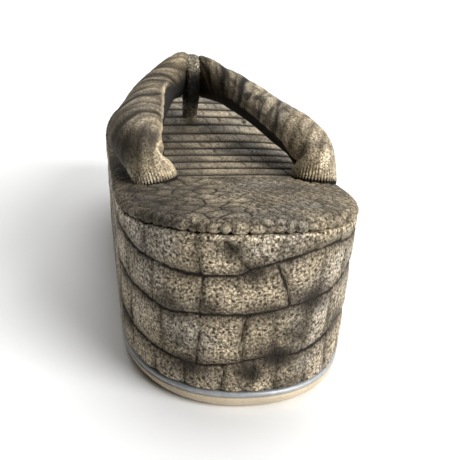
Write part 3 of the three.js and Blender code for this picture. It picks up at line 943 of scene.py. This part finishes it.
def strap_relief(rings, way, side, seed):
    """Relief and marks of a strap; the angle is 0 at its inner side and a quarter turn at its face."""
    angle = np.linspace(0, 2 * math.pi, STRAP_SIDES, endpoint=False)[None]
    along = np.broadcast_to(way[:, None], rings.shape[:2])
    across = np.broadcast_to(turned(angle, math.pi / 2) * STRAP_RADIUS, along.shape)
    start = way[np.argmax(rings[..., 2].mean(axis=1) > over_footbed(71, 0))]
    above = along - start
    waver = wander(along, across, 16, seed)
    fold, spot = crease_marks(side, angle, above, waver)
    lining, roll, near = lining_marks(side, angle, above)

    u = along - FINE_LEAN[side] * 0.9 * np.tanh(turned(angle, math.radians(60)) / 0.9) + waver
    bands = random_cuts(start - 20, way[-1] + 20, 6, 9.5, seed + 1)
    lines = [np.full(along.shape, band) for band in bands]
    cuts = [random_cuts(-28, 28, 6, 13, seed + 2 + row) for row in range(len(bands) + 1)]
    faint = 3.0 + 1.0 * wander(along, across, 10, seed + 9)
    border, tint = plate_rows(across, u, lines, cuts, seed, faint)
    relief = embossed(border, *BAND_SHAPE) - CREASE_DEPTH * fold + 0.25 * wander(along, across, 19, seed + 6)
    relief = relief * (1 - lining) - 0.15 * lining + ROLL_HEIGHT * roll
    border = border + 0.5 + 0.4 * smooth_step(wander(along, across, 10, seed + 3), -0.3, 0.7)

    gather = np.clip(1 - above / PLEAT_REACH, 0, 1) ** 0.8
    pleat = np.abs(np.sin(angle * PLEATS / 2 + 0.5 * wander(along, across, 9, seed + 5)))
    relief = relief * (1 - 0.8 * gather) + gather * (0.55 * pleat + 0.2)
    notch = np.exp(-((above - BEND_LIFT) / 2.0) ** 2) * np.exp(-(turned(angle, 0) / 0.6) ** 2)
    relief -= NOTCH_DEPTH * notch
    border = border * (1 - gather) + gather * (0.1 + 4 * pleat)
    border = np.maximum(border, 5 * roll) * smooth_step(above, -0.4, 0.5)
    long, wide = BLOTCH_STRETCH[side]
    blotch = wander(long * u, wide * across, 9, seed + 7)
    mottle = 0.75 * smooth_step(blotch, -0.1, 1.1) * smooth_step(above, 18, 40)
    # the painted shade beside the lining joins the creases, spots and blotches here
    smudge = np.max([fold, spot, mottle, 0.6 * near], axis=0) * (1 - roll) * (1 - gather)
    # painted light and shade: the right strap is made paler and the left darker along their way up, for how
    # the light falls on each
    painted_light_and_shade = np.interp(above, *np.array(PAINTED_STRAP_LIGHT_AND_SHADE[side]).T)
    # painted highlights: on each strap's foot, and along its rolled edge
    tint = 0.7 * tint + painted_light_and_shade + HEM_PAINTED_HIGHLIGHT[side] * smooth_step(above, 13, 4) + 2.2 * roll
    outward = np.maximum(0, np.cos(turned(angle, math.radians(FULL_TURN))))
    relief += FULLER[side] * outward * smooth_step(above, 8, 34)
    return relief, {"border": border, "tint": tint, "smudge": smudge, "lining": lining}


print("pleats round each foot:", PLEATS)

# %% Strap pieces
MIDDLE_GAP = 0.05
SINK = 0.25
STRAP_INSET = 0.1


def make_strap(name, side, sign, seed):
    rings, way = strap_rings(side)
    relief, marks = strap_relief(rings, way, side, seed)
    shaped = rings + surface_normals(rings) * (relief - STRAP_INSET)[..., None]
    shaped[..., 0] = sign * np.maximum(shaped[..., 0], MIDDLE_GAP)
    floor = footbed_top(shaped[..., 0], shaped[..., 1]) - SINK
    shaped[..., 2] = np.maximum(shaped[..., 2], floor)
    if sign < 0:
        shaped = shaped[:, ::-1]
        marks = {mark: values[:, ::-1] for mark, values in marks.items()}
    strap = tube_piece(name, shaped, marks)
    place_piece(strap, "straps", STRAP_LEATHER)


make_strap("strap_right", "right", sign=1, seed=100)
make_strap("strap_left", "left", sign=-1, seed=200)

# %% [markdown]
# ## The toe loop
# A narrow leather band goes up behind the joined straps, over them and down in front.
# Its two legs meet in one hole, so its route is a short table of stations and lifts in the middle plane.
# Small scales on its top and foot catch the light as pale dots, and its top carries painted light; between
# them it is darkened by painted shade under the joined straps.

# %% Toe loop
LOOP = (
    # station from the heel, lift over the footbed at the post
    (182.2, -2.0), (181.8, 2.0), (177.5, 8.0), (174.0, 14.0), (173.2, 21.4), (175.8, 26.4), (181.6, 28.3),
    (187.2, 27.0), (190.4, 22.4), (190.0, 15.0), (187.6, 8.0), (186.0, 2.0), (185.8, -2.0),
)
LOOP_HALF_WIDTH, LOOP_HALF_THICK = 3.2, 1.8
POST_STATION = 184
LOOP_STEPS, LOOP_SIDES = 170, 44
LOOP_PITCH, LOOP_INSET = 2.6, 0.1
LOOP_SHAPE = (0.2, 0.4, 0.3, 0.9)


def make_toe_loop():
    rows = [(0, station - LENGTH / 2, over_footbed(POST_STATION, lift)) for station, lift in LOOP]
    route, way = smooth_rows(rows, LOOP_STEPS)
    tangent = np.gradient(route, axis=0)
    face = np.cross(tangent, np.array([1.0, 0, 0]))
    full = np.ones(LOOP_STEPS)
    rings = sections(route, face, LOOP_HALF_WIDTH * full, LOOP_HALF_THICK * full, LOOP_SIDES,
                     squareness=0.75)
    along = np.broadcast_to(way[:, None], rings.shape[:2])
    angle = np.linspace(0, 2 * math.pi, LOOP_SIDES, endpoint=False)[None]
    across = np.broadcast_to(((angle + math.pi / 2) % (2 * math.pi) - math.pi) * 3.0, along.shape)
    border, tint = small_scales(along, across, LOOP_PITCH, 300)
    relief = embossed(border, *LOOP_SHAPE) - LOOP_INSET
    shaped = rings + surface_normals(rings) * relief[..., None]
    floor = footbed_top(shaped[..., 0], shaped[..., 1]) - SINK
    shaped[..., 2] = np.maximum(shaped[..., 2], floor)
    lift = shaped[..., 2] - over_footbed(POST_STATION, 0)
    # painted shade: the loop is darkened between its top and foot, for the shade under the joined straps
    loop_painted_shade = smooth_step(lift, 26.5, 21) * smooth_step(lift, 5, 10)
    marks = {
        "border": 0.3 + 3.5 * border,
        # painted light: the loop's top is made paler, for the light that falls on it
        "tint": tint + 2 * smooth_step(lift, 22, 27),
        "smudge": 0.95 * loop_painted_shade,
    }
    return tube_piece("toe_loop_band", shaped, marks)


toe_loop = make_toe_loop()
place_piece(toe_loop, "toe_loop", SHADED_LOOP_LEATHER)

# %% [markdown]
# ## Floor and light
# The sandal stands on a plain white floor in a bright studio, so only a soft shadow shows where it touches.
# A broad soft light comes from the right behind the camera, and a weak one from above.
# The room glows at the right and behind the toe and is dark at the left.
# Where the room itself is seen, it is plain white.
# Plain colours are shown as they are, so white stays white.

# %% Floor
def make_floor():
    mesh = bpy.data.meshes.new("floor")
    reach = 6.0
    corners = [(-reach, -reach, 0), (reach, -reach, 0), (reach, reach, 0), (-reach, reach, 0)]
    mesh.from_pydata(corners, [], [(0, 1, 2, 3)])
    floor = bpy.data.objects.new("floor", mesh)
    material = bpy.data.materials.new("floor_white")
    material.use_nodes = True
    shader = material.node_tree.nodes["Principled BSDF"]
    shader.inputs["Base Color"].default_value = (0.93, 0.93, 0.925, 1)
    shader.inputs["Roughness"].default_value = 0.6
    mesh.materials.append(material)
    bpy.context.collection.objects.link(floor)
    return floor


floor = make_floor()
print("floor material:", floor.data.materials[0].name)

# %% Lights
KEY_FROM = Vector((0.62, -0.68, 0.47))
TOP_FROM = Vector((0.15, 0.35, 0.92))


def make_soft_sun(name, source, spread, energy):
    data = bpy.data.lights.new(name, "SUN")
    data.angle = math.radians(spread)
    data.energy = energy
    light = bpy.data.objects.new(name, data)
    light.location = source
    light.rotation_euler = source.to_track_quat("Z", "Y").to_euler()
    bpy.context.collection.objects.link(light)


make_soft_sun("key_light", KEY_FROM, spread=40, energy=4.0)
make_soft_sun("top_light", TOP_FROM, spread=50, energy=1.1)
print("soft lights ready")

# %% Room
WINDOW_SIDE = (0.74, 0.62, 0.25)
ROOM_DARK, ROOM_BRIGHT = (0.015, 0.015, 0.016, 1), (1.1, 1.1, 1.09, 1)
ROOM_SEEN = (1, 1, 1, 1)


def make_room():
    world = bpy.data.worlds.new("white_room")
    world.use_nodes = True
    tree = world.node_tree
    place = add_node(tree, "ShaderNodeTexCoord").outputs["Generated"]
    side = add_node(tree, "ShaderNodeVectorMath", {"operation": "DOT_PRODUCT"}, i0=place, i1=WINDOW_SIDE)
    share = ramp(tree, side.outputs["Value"], -0.35, 0.95)
    glow = mix_colours(tree, share, ROOM_DARK, ROOM_BRIGHT)
    seen = add_node(tree, "ShaderNodeLightPath").outputs["Is Camera Ray"]
    shown = mix_colours(tree, seen, glow, ROOM_SEEN)
    tree.links.new(shown, tree.nodes["Background"].inputs["Color"])
    bpy.context.scene.world = world
    bpy.context.scene.view_settings.view_transform = "Standard"


make_room()
print("room ready")
